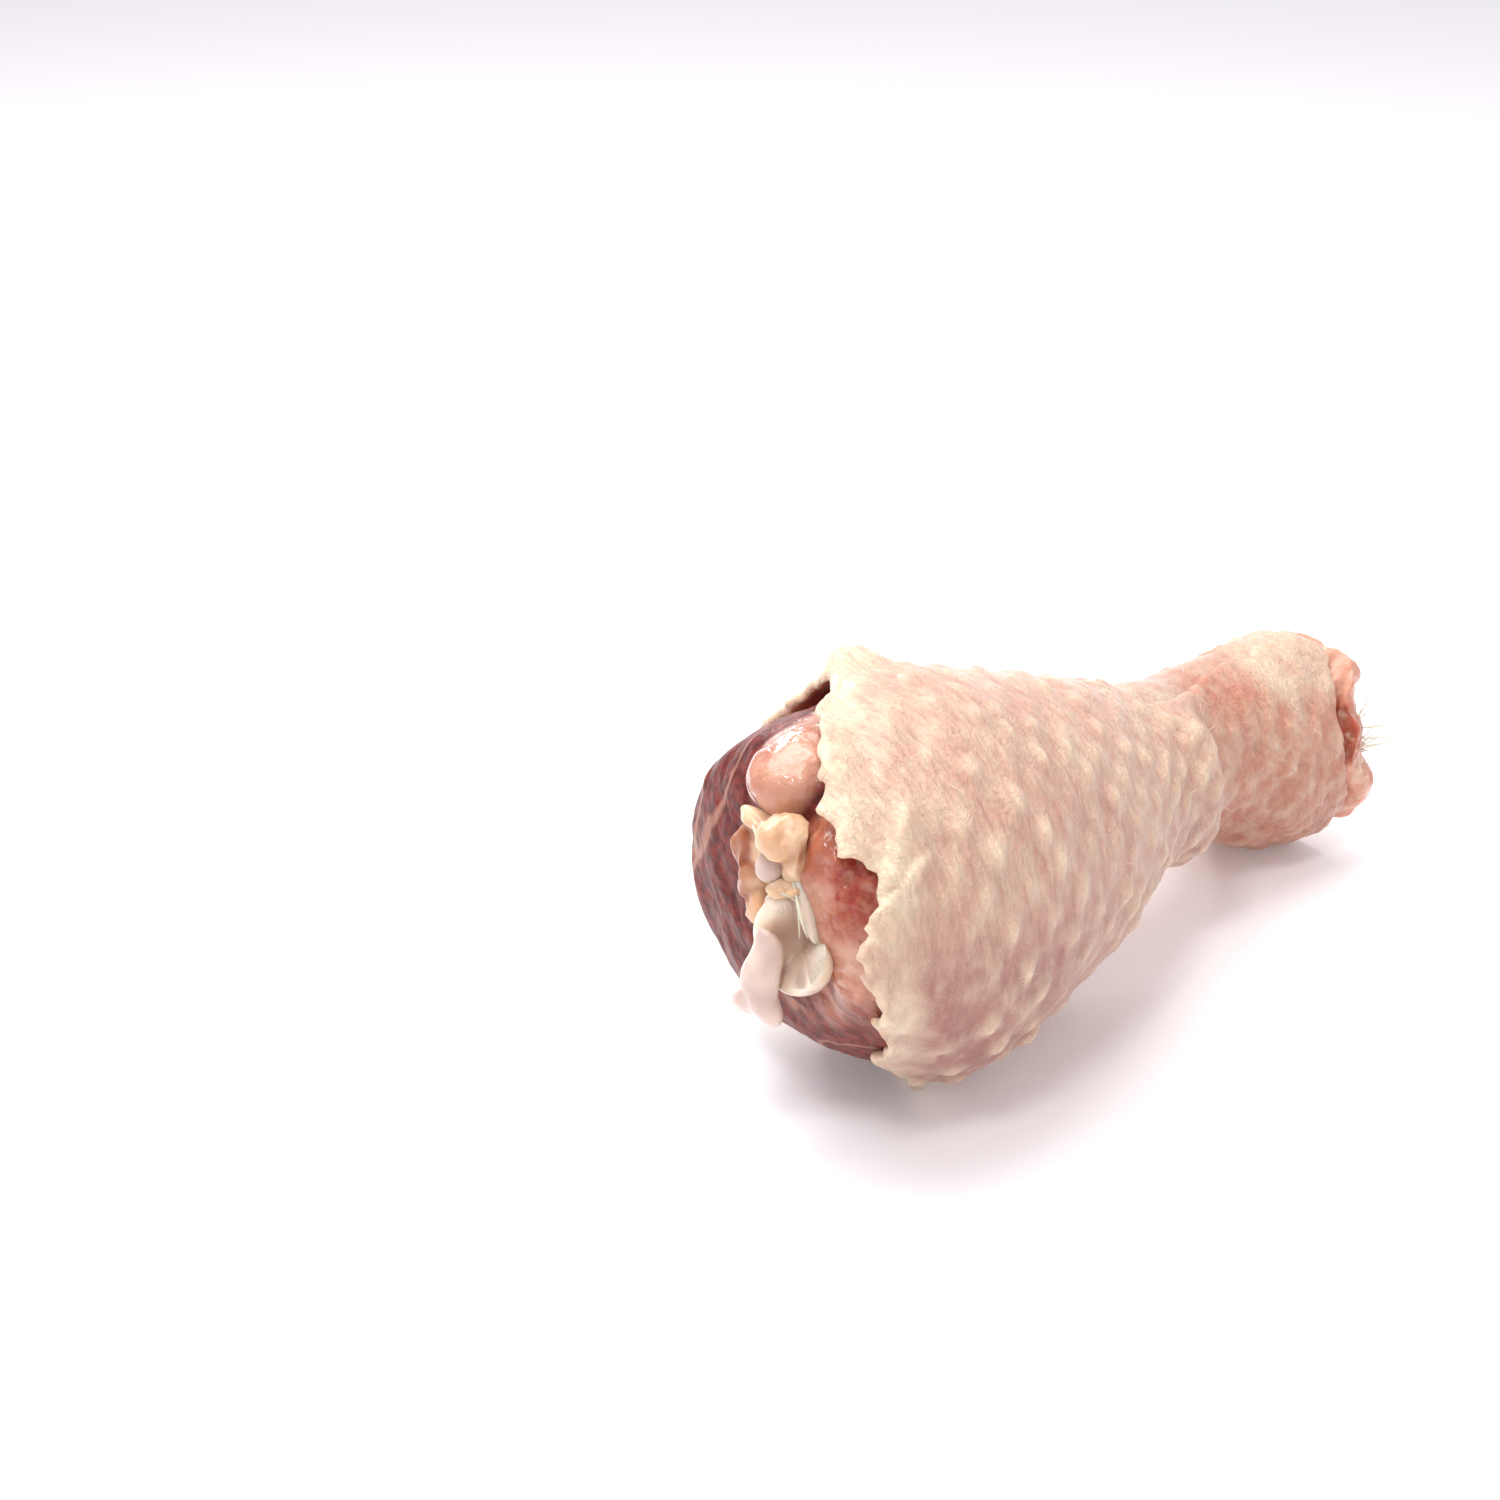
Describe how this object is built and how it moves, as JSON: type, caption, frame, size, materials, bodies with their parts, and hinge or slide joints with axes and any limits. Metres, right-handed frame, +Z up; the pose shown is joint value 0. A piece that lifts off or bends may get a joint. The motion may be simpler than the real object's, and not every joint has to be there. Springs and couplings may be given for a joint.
{
  "type": "chicken drumstick",
  "caption": "Raw chicken drumstick with pimpled skin drawn back from the cut knee end, where muscle, white bone head, fat and torn cartilage show; a knuckle at the other end.",
  "frame": {"origin": "on the surface that the drumstick lies on, under the middle of its box", "axes": "+X along the leg from the cut knee end to the hock, +Z up, -Y towards the viewer's side"},
  "size_m": [0.1264, 0.0522, 0.0563],
  "materials": {
    "raw_skin": "moist translucent raw poultry skin, beige pink with cream fat bumps around the feather pits",
    "raw_muscle": "wet raw muscle under thin glossy membrane, salmon pink to dark red",
    "bone_and_cartilage": "wet translucent white cartilage and bone, faintly lilac",
    "raw_fat": "soft moist cream yellow fat",
    "hock_tendon": "moist orange pink tendon and joint tissue"
  },
  "bodies": {
    "root": {"skin": "raw_skin", "meat": "raw_muscle", "bone": "bone_and_cartilage", "fibula_head": "bone_and_cartilage", "knee_cartilage": "bone_and_cartilage", "fat_pad": "raw_fat", "hock_tissue": "hock_tendon"}
  },
  "joints": []
}
